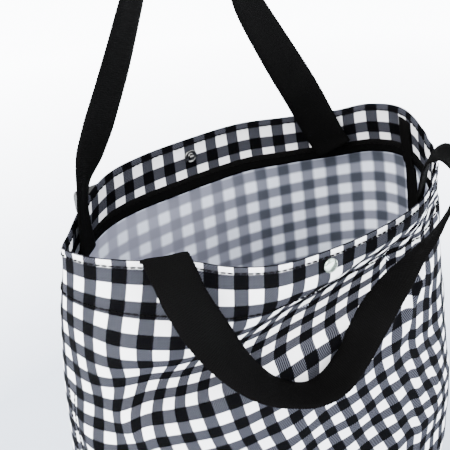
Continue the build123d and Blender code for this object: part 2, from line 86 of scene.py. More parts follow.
def curve_through(points):
    """A smooth curve through the points, but for the first and last, which only steer it."""
    t = np.linspace(0, 1, CURVE_STEPS, endpoint=False)[:, None]
    runs = []
    for a, b, c, d in zip(points, points[1:], points[2:], points[3:]):
        runs.append(0.5 * (2 * b + (c - a) * t + (2 * a - 5 * b + 4 * c - d) * t ** 2
                           + (3 * b - a - 3 * c + d) * t ** 3))
    return np.vstack(runs + [points[-2:-1]])


def smooth_path(points, count):
    """A smooth curve through all the points, sampled evenly along its length."""
    p = np.array(points, float)
    return resample(curve_through(np.vstack([2 * p[0] - p[1], p, 2 * p[-1] - p[-2]])), count)


def resample(curve, count):
    """The same curve with evenly spaced points."""
    steps = np.r_[0, np.cumsum(np.linalg.norm(np.diff(curve, axis=0), axis=1))]
    wanted = np.linspace(0, steps[-1], count)
    return np.stack([np.interp(wanted, steps, curve[:, k]) for k in range(curve.shape[1])], 1)


def section(half, depth, roundness, side):
    """Half of one section, from the left seam to the right seam."""
    a = np.linspace(pi, 0, 400)
    x = half * np.sign(np.cos(a)) * np.abs(np.cos(a)) ** (2 / roundness)
    y = side * depth * np.abs(np.sin(a)) ** (2 / roundness)
    return resample(np.stack([x, y], 1), SAMPLES)


def closed_rim(rows, other):
    """A rim half, with the neighbouring half's points so that it crosses the seams smoothly."""
    return resample(curve_through(np.array([other[1]] + rows + [other[-2]], float)), SAMPLES)


RIMS = {-1: closed_rim(RIM_FRONT, RIM_BACK), 1: closed_rim(RIM_BACK, RIM_FRONT)}
LOOPS = {side: [RIMS[side][:, :2]] + [section(half, front if side < 0 else back, n, side)
                                      for _, half, front, back, n in SECTIONS] for side in (-1, 1)}
LOOP_DEPTHS = [0.0] + [float(row[0]) for row in SECTIONS]


def along(table, s):
    """Rows of a table of evenly spaced points, at s millimetres from the left seam."""
    at = np.clip(np.asarray(s, float) / PANEL, 0, 1) * (SAMPLES - 1)
    columns = [np.interp(at, np.arange(SAMPLES), table[:, k]) for k in range(table.shape[1])]
    return np.stack(columns, -1)


def plain_wall(side, s, d):
    """The bag's outer wall without folds, at s along the panel and d below the rim."""
    s, d = np.broadcast_arrays(np.asarray(s, float), np.asarray(d, float))
    rows, knots = [along(loop, s) for loop in LOOPS[side]], LOOP_DEPTHS
    out = np.zeros(s.shape + (3,))
    last = len(rows) - 1
    slopes = []
    for k in range(last + 1):
        lo, hi = max(k - 1, 0), min(k + 1, last)
        share = RIM_FLARE if k == 0 else 1.0
        slopes.append((rows[hi] - rows[lo]) / (knots[hi] - knots[lo]) * share)
    for k in range(last):
        span = knots[k + 1] - knots[k]
        t = ((d - knots[k]) / span)[..., None]
        h = ((2 * t ** 3 - 3 * t ** 2 + 1) * rows[k] + (t ** 3 - 2 * t ** 2 + t) * span * slopes[k]
             + (3 * t ** 2 - 2 * t ** 3) * rows[k + 1] + (t ** 3 - t ** 2) * span * slopes[k + 1])
        # the first and last stretch go on beyond the rim and the bottom
        inside = ((d >= knots[k]) | (k == 0)) & ((d < knots[k + 1]) | (k == last - 1))
        out[inside, :2] = h[inside]
    fade = (1 - np.clip(d / DEPTH, 0, 1)) ** 1.3
    out[..., 2] = -d + along(RIMS[side], s)[..., 2] * fade
    return out


# ------------------------------------------------------------ folds of the front and the back
# Below, s is the way along a panel from its left seam, and d the depth below the rim.
# Where the upper part of the front folds over the lower part: s and d, measured in the photo.
CREASE = [(-20, 122), (0, 114), (30, 100), (47, 91), (72, 81), (95, 71), (122, 57), (165, 44),
          (210, 37), (255, 31), (290, 26), (320, 22), (406, 20)]
CREASE_TURN = radians(22.0)      # how far the pattern below the crease is turned
CREASE_PIVOT = (28.0, 100.0)     # the point that it turns about
FAN_CENTRE = (316.0, -8.0)       # right end of the hanging handle, where pleats fan out
VALLEY_START = (40.0, 118.0)     # the crease's left end, where a valley runs down
LOW_FOLDS_START = 130.0          # depth at which the lower folds begin


def ramp(x, low, high):
    """0 below the low value, 1 above the high one, and smooth between."""
    t = np.clip((np.asarray(x, float) - low) / (high - low), 0, 1)
    return t * t * (3 - 2 * t)


def crease_depth(s):
    """Depth of the crease below the rim."""
    s = np.asarray(s, float)
    knots = np.linspace(-20, 406, 72)
    depth = np.interp(knots, [c[0] for c in CREASE], [c[1] for c in CREASE])
    for _ in range(6):
        depth[1:-1] = (depth[:-2] + 2 * depth[1:-1] + depth[2:]) / 4
    return np.interp(s, knots, depth)


def front_fold(s, d):
    """How far the front stands out from the plain wall."""
    q = d - crease_depth(s)
    strength = ramp(s, 12, 75) * ramp(PANEL - s, 25, 150) * ramp(d, 4, 40)
    groove = -11.0 * np.exp(-(np.clip(-q, 0, None) / 17) ** 2) * (q <= 0)
    groove = groove - 11.0 * np.exp(-(np.clip(q, 0, None) / 11) ** 2) * (q > 0)
    swell = 10.0 * ramp(q, 0, 34) * np.exp(-np.clip(q - 34, 0, None) / 120)
    lip = 4.0 * np.exp(-((q + 34) / 18) ** 2)
    out = (groove + swell + lip) * strength
    # pleats that fan out from the right end of the hanging handle
    ds, dd = FAN_CENTRE[0] - s, d - FAN_CENTRE[1]
    reach = np.hypot(ds, dd)
    angle = np.arctan2(dd, ds)
    fan = np.exp(-(reach / 135) ** 2) * np.clip(reach, 0, 110) * ramp(ds, 4, 40)
    fan = fan * ramp(reach, 12, 60)
    out = out + 0.021 * fan * (np.cos(angle * 25) + 0.5 * np.cos(angle * 43 + 1)) * ramp(d, 6, 26)
    # upright pleats between that handle and the seam
    upright = np.exp(-((s - 338) / 24) ** 2) * np.exp(-((d - 24) / 30) ** 2)
    out = out + 1.5 * upright * np.cos((s - 334) * 2 * pi / 14)
    # the valley that runs down from the crease's left end, and the ridge on its left
    across = (s - VALLEY_START[0]) - 0.55 * (d - VALLEY_START[1])
    valley = np.exp(-(across / 17) ** 2) * ramp(d, 95, 130) * (1 - ramp(d, 190, 290))
    ridge = np.exp(-((across + 30) / 22) ** 2)
    out = out - 6.5 * valley + 3.5 * ridge * ramp(d, 95, 140) * (1 - ramp(d, 200, 280))
    return out + low_folds(s, d, 0.0)


def turned_cloth(s, d, length):
    """Where the front's pattern lies: below the crease it is turned, and part of it is left out.

    This only moves the fabric coordinates. The cloth itself is not tucked in.
    """
    q = d - crease_depth(s)
    left = CREASE_PIVOT[0] + 0.4 * np.clip(d - 110, 0, 120)
    ps = 225 * np.tanh(np.clip(s - left, 0, None) / 225) * ramp(s - left, 0, 40)
    ps = ps * (1 - 0.45 * ramp(s, 230, 386))
    pd = np.clip(d - CREASE_PIVOT[1], -70, 110)
    tucked = ramp(q, -14, 20) * (1 - ramp(d, 210, 390))
    sideways = (pd - 50) * sin(CREASE_TURN) * ramp(s, 15, 110) * (1 - 0.8 * ramp(s, 300, 386))
    across = s - sideways * tucked
    wide = ramp(d, 40, 130) * (1 - 0.7 * ramp(d, 260, 400))
    across = across + 0.17 * (s - 60) * wide
    length = length + 0.12 * (length - 90) * ramp(d, 90, 130)
    down = length + (ps * sin(CREASE_TURN) + pd * (cos(CREASE_TURN) - 1)) * tucked
    return across, down


def low_folds(s, d, shift):
    """Soft folds lower down, which both panels have, and a slight waviness all over."""
    low = np.clip((d - LOW_FOLDS_START) / 90, 0, 1) * np.clip((DEPTH - d) / 60, 0, 1)
    wave = 3.2 * np.sin((s * 0.8 + d * 0.45 + shift) * 2 * pi / 130)
    wave = wave + 2.0 * np.sin((s * 0.5 - d * 0.7 + shift * 2) * 2 * pi / 88)
    edge = np.sin(np.clip(s / PANEL, 0, 1) * pi) ** 0.6
    ripple = 0.6 * np.sin((s + 0.3 * d + shift) * 2 * pi / 47)
    ripple = ripple + 0.4 * np.sin((s * 0.4 - d) * 2 * pi / 39)
    return low * wave * edge + ripple * np.clip(d / 20, 0, 1) * edge


def back_fold(s, d):
    """How far the back stands out: it lies against the frame, so less."""
    inner = np.exp(-((s - 60) / 40) ** 2) * np.exp(-((d - 70) / 40) ** 2)
    return 0.35 * low_folds(s, d, 40.0) - 2.0 * inner


def pucker(s, d):
    """The little dips along the two lines of stitches."""
    upper, lower = (np.exp(-((d - line) / 1.3) ** 2) for line in STITCH_LINES)
    lines = upper + 0.8 * lower
    ripple = 0.5 + 0.25 * np.sin(s * 2 * pi / 6.7) + 0.2 * np.sin(s * 2 * pi / 11.3 + 1)
    return -0.75 * lines * ripple


def wall(side, s, d, inset=0.0):
    """The bag's wall with its folds, moved in by the inset."""
    s, d = np.broadcast_arrays(np.asarray(s, float), np.asarray(d, float))
    step = 1.5               # the reach on each side from which the wall's direction is taken
    base = plain_wall(side, s, d)
    before, after = np.clip(s - step, 0, PANEL), np.clip(s + step, 0, PANEL)
    ds = plain_wall(side, after, d) - plain_wall(side, before, d)
    dd = plain_wall(side, s, d + step) - plain_wall(side, s, np.clip(d - step, 0, None))
    normal = np.cross(ds, dd) * side
    normal = normal / np.linalg.norm(normal, axis=-1, keepdims=True)
    fold = front_fold(s, d) if side < 0 else back_fold(s, d)
    out = (fold + pucker(s, d) - inset)[..., None]
    return base + normal * out


# ------------------------------------------------------------ placing and meshing
RIM_HEIGHT = 0.414           # rim above the underside of the bag, in metres
RIM_CENTRE = Vector((0.0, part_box("front_panel")[1].y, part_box("bottom_panel")[0].z + RIM_HEIGHT))


def place(points):
    """Bag millimetres to metres in the shared frame."""
    return np.asarray(points, float).reshape(-1, 3) * MM + np.array(RIM_CENTRE)


def new_piece(name, verts, faces, materials, slots=None, uvs=None):
    """A mesh piece; uvs is one pair for each corner of each face."""
    mesh = bpy.data.meshes.new(name)
    mesh.from_pydata([tuple(v) for v in verts], [], faces)
    for material in materials:
        mesh.materials.append(material)
    if slots is not None:
        mesh.polygons.foreach_set("material_index", slots)
    if uvs is not None:
        layer = mesh.uv_layers.new(name="fabric")
        layer.data.foreach_set("uv", np.asarray(uvs, float).ravel())
    mesh.polygons.foreach_set("use_smooth", [True] * len(mesh.polygons))
    obj = bpy.data.objects.new(name, mesh)
    bpy.context.collection.objects.link(obj)
    return obj


def soft(obj, *nodes, slot):
    """A soft piece of the bag: it rides on the frame."""
    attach(obj, "frame")
    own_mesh(obj)
    if nodes:
        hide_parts(*nodes)


def grid_faces(rows, cols, closed_rows=False, flip=False):
    """Quads of a grid whose vertices are numbered row by row."""
    faces = []
    for i in range(rows if closed_rows else rows - 1):
        for j in range(cols - 1):
            a, b = i * cols + j, i * cols + j + 1
            c, d = ((i + 1) % rows) * cols + j + 1, ((i + 1) % rows) * cols + j
            faces.append((a, d, c, b) if flip else (a, b, c, d))
    return faces


def tidy_normals(obj):
    """Turn every face outwards."""
    made = bmesh.new()
    made.from_mesh(obj.data)
    bmesh.ops.recalc_face_normals(made, faces=made.faces)
    made.to_mesh(obj.data)
    made.free()


# ------------------------------------------------------------ materials
class Graph:
    """A small helper for material nodes."""

    def __init__(self, name):
        self.material = bpy.data.materials.new(name)
        self.material.use_nodes = True
        self.tree = self.material.node_tree
        self.shader = self.tree.nodes["Principled BSDF"]

    def add(self, kind, inputs=None, **settings):
        node = self.tree.nodes.new(kind)
        for key, value in settings.items():
            setattr(node, key, value)
        for key, value in (inputs or {}).items():
            if isinstance(value, bpy.types.NodeSocket):
                self.tree.links.new(value, node.inputs[key])
            else:
                node.inputs[key].default_value = value
        return node

    def math(self, operation, a, b=0.0, c=0.0):
        return self.add("ShaderNodeMath", {0: a, 1: b, 2: c}, operation=operation).outputs[0]

    def mix(self, factor, a, b):
        node = self.add("ShaderNodeMix", {0: factor, 6: a, 7: b}, data_type="RGBA")
        return node.outputs[2]

    def noise(self, scale, detail=3.0, vector=None):
        inputs = {"Scale": scale, "Detail": detail}
        if vector is not None:
            inputs["Vector"] = vector
        return self.add("ShaderNodeTexNoise", inputs).outputs["Fac"]

    def position(self):
        """The place in the object's own space, in metres."""
        return self.add("ShaderNodeTexCoord").outputs["Object"]

    def fabric(self):
        """The fabric coordinates: along and down the cloth, in millimetres."""
        uv = self.add("ShaderNodeUVMap", uv_map="fabric").outputs[0]
        parts = self.add("ShaderNodeSeparateXYZ", {0: uv})
        return parts.outputs[0], parts.outputs[1]

    def bump(self, height, strength, distance):
        node = self.add("ShaderNodeBump",
                        {"Height": height, "Strength": strength, "Distance": distance})
        self.wire("Normal", node.outputs[0])

    def spread(self, value, low, high, limits=(0.0, 1.0)):
        """The value, taken from between the limits to between low and high."""
        return self.add("ShaderNodeMapRange", {0: value, 1: limits[0], 2: limits[1],
                                               3: low, 4: high}).outputs[0]

    def wire(self, name, socket):
        self.tree.links.new(socket, self.shader.inputs[name])

    def set(self, **values):
        for name, value in values.items():
            self.shader.inputs[name.replace("_", " ")].default_value = value


def gray(value, tint=(1.0, 1.0, 1.0)):
    """A neutral colour, times a tint."""
    return (value * tint[0], value * tint[1], value * tint[2], 1.0)


TWILL_HALF = 0.95            # half the twill's period along u + v, in millimetres
THREAD_HALF = 0.31           # half the distance between two threads
# the pale tint of the painted sheen on the coated inside
PAINTED_SHEEN_TINT = (0.47, 0.475, 0.59, 1.0)


def gingham(name, white, mid, mid_light, black, relief, coated=False):
    """Gingham cloth: squares of 10 mm, and a twill in the squares where only one stripe runs."""
    g = Graph(name)
    u, v = g.fabric()
    wobble = g.math("MULTIPLY", g.math("SUBTRACT", g.noise(60.0, 2.0, g.position()), 0.5), 0.5)
    blur = 1.3 if coated else 0.2

    def stripe(x):
        wave = g.math("PINGPONG", g.math("SUBTRACT", g.math("ADD", x, wobble), SQUARE / 2), SQUARE)
        return g.spread(wave, 1.0, 0.0, (SQUARE / 2 - blur, SQUARE / 2 + blur))

    col, row = stripe(u), stripe(v)
    twill = g.spread(g.math("PINGPONG", g.math("ADD", u, v), TWILL_HALF), 0.0, 1.0, (0.48, 0.64))
    both = g.math("MULTIPLY", col, row)
    neither = g.math("MULTIPLY", g.math("SUBTRACT", 1.0, col), g.math("SUBTRACT", 1.0, row))
    single = g.mix(twill, mid, mid_light)
    if coated:
        # painted sheen: towards the left the colours are mixed towards a pale milky tint, standing
        # in for the whitish reflection on the glossy coating
        where = g.add("ShaderNodeSeparateXYZ", {0: g.position()}).outputs[0]
        painted_sheen = g.spread(where, 0.66, 0.0, (-0.14, 0.07))
        single, black = g.mix(painted_sheen, single, PAINTED_SHEEN_TINT), g.mix(painted_sheen, black, PAINTED_SHEEN_TINT)
    colour = g.mix(both, g.mix(neither, single, white), black)
    cloud = g.noise(9.0, 4.0, g.position())
    shade = g.spread(cloud, 0.9, 1.06)
    tint = g.add("ShaderNodeMix", {0: 1.0, 6: colour}, data_type="RGBA", blend_type="MULTIPLY")
    grey = g.add("ShaderNodeCombineColor", {0: shade, 1: shade, 2: shade}).outputs[0]
    g.tree.links.new(grey, tint.inputs[7])
    g.wire("Base Color", tint.outputs[2])
    threads = g.math("ADD", g.math("PINGPONG", u, THREAD_HALF), g.math("PINGPONG", v, THREAD_HALF))
    height = g.math("ADD", threads, g.math("MULTIPLY", twill, 0.3))
    if coated:
        height = g.math("ADD", g.math("MULTIPLY", height, 0.3), g.math("MULTIPLY", cloud, 2.0))
    g.bump(height, relief, 0.0004)
    if coated:
        g.wire("Roughness", g.spread(g.noise(30.0, 3.0, g.position()), 0.36, 0.5))
        g.set(Coat_Weight=0.25, Coat_Roughness=0.3)
    else:
        g.wire("Roughness", g.spread(cloud, 0.82, 0.95))
        g.set(Specular_IOR_Level=0.01)
    return g.material


def ribbed(name, colour, rib, across, strength):
    """Woven tape or webbing: ribs across its length, with threads along it."""
    g = Graph(name)
    u, v = g.fabric()
    ribs = g.math("PINGPONG", u, rib / 2)
    # each rib's threads lie half a thread beside the last one's
    offset = g.math("MULTIPLY", g.math("ROUND", g.math("DIVIDE", u, rib)), across / 2)
    cords = g.math("PINGPONG", g.math("ADD", v, offset), across / 2)
    height = g.math("ADD", g.math("DIVIDE", ribs, rib), g.math("DIVIDE", cords, across))
    worn = g.noise(35.0, 4.0, g.position())
    light = tuple(c * 3 for c in colour[:3]) + (1.0,)
    g.wire("Base Color", g.mix(g.math("MULTIPLY", worn, height), colour, light))
    g.wire("Roughness", g.spread(worn, 0.75, 0.95))
    g.bump(height, strength, 0.0006)
    g.set(Specular_IOR_Level=0.01)
    return g.material


def grained(name, colour, rough, scale, strength, metallic=0.0, fleck=0.12, coat=0.0, shine=0.5):
    """Moulded plastic, rubber or painted metal with a fine grain and a little wear."""
    g = Graph(name)
    grain = g.noise(scale, 5.0, g.position())
    cloud = g.noise(14.0, 3.0, g.position())
    light = tuple(min(1.0, c * (1 + 3 * fleck) + fleck * 0.05) for c in colour[:3]) + (1.0,)
    g.wire("Base Color", g.mix(cloud, colour, light))
    g.wire("Roughness", g.spread(cloud, rough * 0.85, rough * 1.15, (0.3, 0.7)))
    g.bump(grain, strength, 0.0003)
    g.set(Metallic=metallic, Coat_Weight=coat, Specular_IOR_Level=shine)
    return g.material


def drawn_metal(name, colour, rough, stretch):
    """Drawn or turned metal: fine streaks along one direction."""
    g = Graph(name)
    where = g.add("ShaderNodeMapping", {0: g.position(), 3: stretch}).outputs[0]
    streaks = g.noise(900.0, 4.0, where)
    smudge = g.noise(18.0, 3.0, g.position())
    dark = tuple(c * 0.82 for c in colour[:3]) + (1.0,)
    g.wire("Base Color", g.mix(streaks, dark, colour))
    both = g.math("ADD", g.math("MULTIPLY", streaks, 0.5), g.math("MULTIPLY", smudge, 0.5))
    g.wire("Roughness", g.spread(both, rough * 0.75, rough * 1.3, (0.3, 0.7)))
    g.bump(streaks, 0.12, 0.0001)
    g.set(Metallic=1.0)
    return g.material


# albedos are low, because this scene's light is strong
BLUE = (0.96, 0.97, 1.06)
CLOTH = gingham("gingham_cloth", gray(0.86, (1, 1, 1.02)), gray(0.004, (0.92, 0.95, 1.2)),
                gray(0.07, (0.92, 0.95, 1.18)), gray(0.0016, (0.95, 0.95, 1.2)), 0.5)
COATED = gingham("gingham_coated", gray(0.86, (0.9, 0.96, 1.1)), gray(0.15, (0.92, 0.98, 1.25)),
                 gray(0.18, (0.92, 0.98, 1.25)), gray(0.038, (0.86, 0.98, 1.3)), 0.25,
                 coated=True)
WEBBING = ribbed("black_webbing", gray(0.0012), 1.5, 1.1, 0.7)
TAPE = ribbed("black_binding_tape", gray(0.0015), 1.0, 0.8, 0.4)
THREAD = ribbed("black_thread", gray(0.002), 0.5, 0.3, 0.3)
PEARL = grained("pearl_cap", (0.3, 0.36, 0.32, 1), 0.12, 40.0, 0.05, metallic=0.75, fleck=0.1,
                coat=0.8)
SNAP_METAL = drawn_metal("snap_metal", (0.13, 0.13, 0.125, 1), 0.24, (1.0, 1.0, 1.0))
ALUMINIUM = drawn_metal("anodised_tube", (0.26, 0.265, 0.275, 1), 0.3, (1.0, 1.0, 0.02))
STEEL = drawn_metal("zinc_steel", (0.16, 0.16, 0.165, 1), 0.32, (0.05, 1.0, 1.0))
BLACK_STEEL = grained("powder_coat", gray(0.0035), 0.5, 900.0, 0.25, fleck=0.05, shine=0.09)
PLASTIC = grained("black_plastic", gray(0.003), 0.46, 1200.0, 0.3, fleck=0.06, shine=0.1)
GREY_PLASTIC = grained("grey_plastic", gray(0.03, BLUE), 0.42, 1100.0, 0.22, fleck=0.04,
                       shine=0.15)
BUTTON_PLASTIC = grained("button_plastic", gray(0.045, BLUE), 0.3, 700.0, 0.1, fleck=0.04,
                         shine=0.2)
BUSH_PLASTIC = grained("acetal", gray(0.3, (1, 1, 0.96)), 0.4, 500.0, 0.1, fleck=0.02, shine=0.3)
RUBBER = grained("rubber", gray(0.0028), 0.8, 700.0, 0.4, fleck=0.08, shine=0.05)
BOARD = grained("board_sheet", gray(0.004), 0.6, 300.0, 0.5, fleck=0.08, shine=0.1)


# ------------------------------------------------------------ the bag's panels
PATTERN_DROP = 6.5           # how far the front's first stripe starts below the rim
BACK_SHIFT = 8.0             # how far the back's stripes are shifted against the front's
RIM_START = 2.0              # depth at which the rolled rim begins
RIM_RISE = 1.3               # how far the rolled rim stands up
NEAR_RIM_ROWS = 24           # rows in which the pattern's length is the depth itself
ROLL_OVER = 0.6              # angle round the rim at which the facing's pattern begins
OUTSIDE, INSIDE = 0, 1       # a panel's material slots


def panel_uv(side, s, d, facing, length=None):
    """Fabric coordinates in millimetres, with black stripes in [0, 10) of every 20."""
    across = s if side < 0 else s - BACK_SHIFT
    if facing:
        return across, d + 4.0
    length = d if length is None else length
    if side < 0:
        across, length = turned_cloth(s, d, length)
    return across, length - PATTERN_DROP


def panel(side, name, nodes):
    """A panel as one closed skin: outside, rolled rim, facing and coated inside."""
    cols = 181
    s = np.linspace(0, PANEL, cols)
    level = np.zeros(cols)
    facing_end = FACING_DEPTH + 1
    seams = [line + step for line in STITCH_LINES for step in (-1.6, -0.8, 0.0, 0.8, 1.6)]
    outer = np.union1d(np.linspace(RIM_START, DEPTH, 176), seams)[:, None] + level
    skin = np.array([wall(side, s, d) for d in outer])
    run = np.linalg.norm(np.diff(skin, axis=0), axis=2)
    run[:NEAR_RIM_ROWS] = np.diff(outer, axis=0)[:NEAR_RIM_ROWS]
    lengths = RIM_START + np.vstack([level, np.cumsum(run, axis=0)])
    facing = np.linspace(RIM_START, facing_end, 18)[:, None] + level
    inner = facing_end + (DEPTH - facing_end) * np.linspace(0, 1, 60)[1:, None] + level
    turn_in = WALL + 0.7     # how far the facing lies behind the outside
    start = level + RIM_START
    at_rim, inward = wall(side, s, start), wall(side, s, start, turn_in)
    middle = (at_rim + inward) / 2
    rings, uv, kind = [], [], []

    def add(points, coordinates, slot):
        rings.append(points)
        uv.append(np.stack(coordinates, 1))
        kind.append(slot)

    for points, d, length in zip(skin[::-1], outer[::-1], lengths[::-1]):
        add(points, panel_uv(side, s, d, False, length), OUTSIDE)
    for a in (pi * k / 6 for k in range(1, 6)):
        depth = RIM_START * cos(a) ** 2 if a < ROLL_OVER else 0.0
        add(middle + (at_rim - middle) * cos(a) + np.array([0, 0, RIM_RISE]) * sin(a),
            panel_uv(side, s, level + depth, a > ROLL_OVER), OUTSIDE)
    for d in facing:
        add(wall(side, s, d, turn_in), panel_uv(side, s, d, True), OUTSIDE)
    for d in inner:
        add(wall(side, s, d, WALL), panel_uv(side, s, d, False), INSIDE)

    faces = grid_faces(len(rings), cols, closed_rows=True, flip=side > 0)
    order = (0, 3, 2, 1) if side > 0 else (0, 1, 2, 3)
    corners, slots = [], []
    for index in range(len(faces)):
        i, j = divmod(index, cols - 1)
        below = (i + 1) % len(rings)
        slots.append(max(kind[i], kind[below]))
        # where the pattern jumps from one row to the next, the face keeps its first row's
        other = uv[below] if abs(uv[i][j][1] - uv[below][j][1]) < 30 else uv[i]
        quad = (uv[i][j], uv[i][j + 1], other[j + 1], other[j])
        corners.extend(quad[k] for k in order)
    obj = new_piece(name, place(np.vstack(rings)), faces, [CLOTH, COATED], slots, corners)
    soft(obj, *nodes, slot="gingham")


def strip(name, lines, thickness, material, node, slot):
    """A closed tape from rows of points, which run along it, thickened inwards."""
    rows = np.array(lines)
    count, cols = rows.shape[:2]
    normal = np.cross(np.gradient(rows, axis=1), np.gradient(rows, axis=0))
    normal /= np.linalg.norm(normal, axis=-1, keepdims=True) + 1e-9
    back = rows + normal * thickness
    verts = place(np.concatenate([rows, back[::-1]], 0))
    faces = grid_faces(2 * count, cols, closed_rows=True)
    steps = np.r_[0, np.cumsum(np.linalg.norm(np.diff(rows[count // 2], axis=0), axis=1))]
    heights = np.r_[0, np.cumsum(np.linalg.norm(np.diff(rows[:, cols // 2], axis=0), axis=1))]
    level = np.r_[heights, heights[::-1]]
    corners = []
    for index in range(len(faces)):
        i, j = divmod(index, cols - 1)
        k = (i + 1) % (2 * count)
        corners.extend([(steps[j], level[i]), (steps[j + 1], level[i]),
                        (steps[j + 1], level[k]), (steps[j], level[k])])
    for j, flip in ((0, True), (cols - 1, False)):
        for i in range(count - 1):
            a, b = i * cols + j, (i + 1) * cols + j
            c, d = (2 * count - 2 - i) * cols + j, (2 * count - 1 - i) * cols + j
            faces.append((a, d, c, b) if flip else (a, b, c, d))
            corners.extend([(steps[j], level[i])] * 4)
    obj = new_piece(name, verts, faces, [material], None, corners)
    tidy_normals(obj)
    soft(obj, node, slot=slot)


def rim_bindings():
    """Black tape over the facing's lower edge, and down both side seams."""
    s = np.linspace(0, PANEL, 130)
    steps = 6                # bands across the tape
    for side, word in ((-1, "front"), (1, "back")):
        lines = []
        for k in range(steps + 1):
            d = FACING_DEPTH - 0.5 + (BINDING_DEPTH + 0.5) * k / steps
            swell = 1.1 * sin(pi * k / steps)
            lines.append(wall(side, s, d + 0.5 * np.sin(s / 23.0), WALL + 1.2 + swell))
        strip(f"{word}_rim_binding", lines, 0.6 * side, TAPE, f"{word}_binding", "binding_tape")
    d = np.linspace(7.0, DEPTH - 8, 110)
    cover = WALL + 0.9 + 2.0 * (1 - ramp(d, 44, 52))     # over the rim binding's ends
    for end, inward, word in ((0.0, 1, "left"), (PANEL, -1, "right")):
        across = [(-1, 6.0), (-1, 3.0), (-1, 0.6), (1, 0.6), (1, 3.0), (1, 6.0)]
        lines = [wall(side, end + inward * reach, d, cover) for side, reach in across]
        strip(f"side_seam_tape_{word}", lines, -0.8 * inward, TAPE, f"seam_tape_{word}",
              "binding_tape")


def stitch_mesh(name, runs, length, gap, radius):
    """Threads that show on the cloth: short rounded dashes along each run of points."""
    verts, faces = [], []
    profile = [(-0.5, 0.25), (-0.25, 0.85), (0.25, 0.85), (0.5, 0.25)]
    around = 6
    last = (len(profile) - 1) * around
    for run in runs:
        total = np.linalg.norm(np.diff(run, axis=0), axis=1).sum()
        line = resample(np.array(run), max(4, int(total / 0.8)))
        steps = np.r_[0, np.cumsum(np.linalg.norm(np.diff(line, axis=0), axis=1))]
        start = 0.0
        while start + length < steps[-1]:
            a, b = (Vector([np.interp(x, steps, line[:, k]) for k in range(3)])
                    for x in (start, start + length))
            axis = (b - a).normalized()
            side_a = axis.orthogonal().normalized()
            side_b = axis.cross(side_a)
            base = len(verts)
            for t, r in profile:
                centre = (a + b) / 2 + axis * length * t
                for q in range(around):
                    angle = 2 * pi * q / around
                    verts.append(centre + (side_a * cos(angle) + side_b * sin(angle)) * radius * r)
            for ring in range(base, base + last, around):
                for q in range(around):
                    p, w = ring + q, ring + (q + 1) % around
                    faces.append((p, w, w + around, p + around))
            faces.append(tuple(base + q for q in reversed(range(around))))
            faces.append(tuple(base + last + q for q in range(around)))
            start += length + gap
    corners = [(0.0, 0.0)] * sum(len(f) for f in faces)
    return new_piece(name, place([tuple(v) for v in verts]), faces, [THREAD], None, corners)


def rim_stitches():
    """Two lines of stitches round the rim, outside and inside, and one down each seam's side."""
    s = np.linspace(1.5, PANEL - 1.5, 240)
    drop = np.linspace(110, DEPTH - 12, 300)
    runs = []
    for side in (-1, 1):
        for d in STITCH_LINES:
            runs.append(wall(side, s, d, -0.6))
        runs.append(wall(side, s, STITCH_LINES[0], WALL + 0.9))
        runs.append(wall(side, s, FACING_DEPTH + 3, WALL + 2.9))
        for edge in (6.0, PANEL - 6.0):
            runs.append(wall(side, edge, drop, -0.2))
    soft(stitch_mesh("rim_stitching", runs, 4.2, 0.4, 0.68), slot="binding_tape")


def bottom():
    """The bag's bottom, a little dished between its edges."""
    rings, count = 14, 96
    thickness, dish = 1.6, 0.8
    half = count // 2
    edge = np.vstack([wall(-1, np.linspace(0, PANEL, half, endpoint=False), DEPTH - 1.0, WALL / 2),
                      wall(1, np.linspace(PANEL, 0, half, endpoint=False), DEPTH - 1.0, WALL / 2)])
    centre = edge.mean(0)
    verts = []
    for layer in (0.0, thickness):
        for k in range(rings):
            share = (k + 1) / rings
            ring = centre + (edge - centre) * share
            ring[:, 2] = -DEPTH - 1.5 + (layer + dish * (1 - share ** 2))
            verts.extend(ring)
    verts.append([centre[0], centre[1], -DEPTH - 0.7])
    verts.append([centre[0], centre[1], -DEPTH + 0.9])
    faces = []
    for layer in (0, 1):
        base = layer * rings * count
        middle = 2 * rings * count + layer
        for j in range(count):
            k = (j + 1) % count
            faces.append((base + j, base + k, middle)[::1 if layer == 0 else -1])
            for i in range(rings - 1):
                a, b = base + i * count + j, base + i * count + k
                faces.append((a, b, b + count, a + count)[::-1 if layer == 0 else 1])
    last = (rings - 1) * count
    for j in range(count):
        k = (j + 1) % count
        faces.append((last + j, last + k, last + k + rings * count, last + j + rings * count))
    points = np.array(verts)
    corners = [(points[v][0], points[v][1]) for face in faces for v in face]
    obj = new_piece("bag_bottom", place(points), faces, [CLOTH], None, corners)
    tidy_normals(obj)
    soft(obj, "bottom_panel", slot="gingham")


# ------------------------------------------------------------ handles and snap
# Stations along each strap's middle: the place, and the way across the strap there. They are
# positions measured in the photo, set at a given depth and moved one by one.
BACK_HANDLE = [((-114, 49, -36), (0.65, 0.76, 0.0)), ((-112, 53, -8), (0.6, 0.8, 0.0)),
               ((-107, 55, 16), (0.6, 0.75, -0.3)), ((-98, 57, 36), (0.78, 0.4, -0.5)),
               ((-87, 59, 55), (0.87, 0.3, -0.38)), ((-67, 62, 91), (0.86, 0.36, -0.36)),
               ((-46, 64, 135), (0.81, 0.49, -0.31)), ((-34, 65, 161), (0.6, 0.75, -0.25)),
               ((-18, 66, 184), (0.3, 0.95, -0.1)), ((0, 66, 194), (0.05, 1.0, 0.0)),
               ((17, 66, 182), (0.3, 0.95, 0.1)), ((31, 65, 152), (0.6, 0.7, 0.3)),
               ((45, 64, 113), (0.83, 0.38, 0.41)), ((66, 63, 72), (0.87, 0.1, 0.4)),
               ((90, 60, 26), (0.85, -0.3, 0.3)), ((107, 53, -14), (0.8, -0.58, 0.1)),
               ((113, 48, -27), (0.76, -0.64, 0.0))]
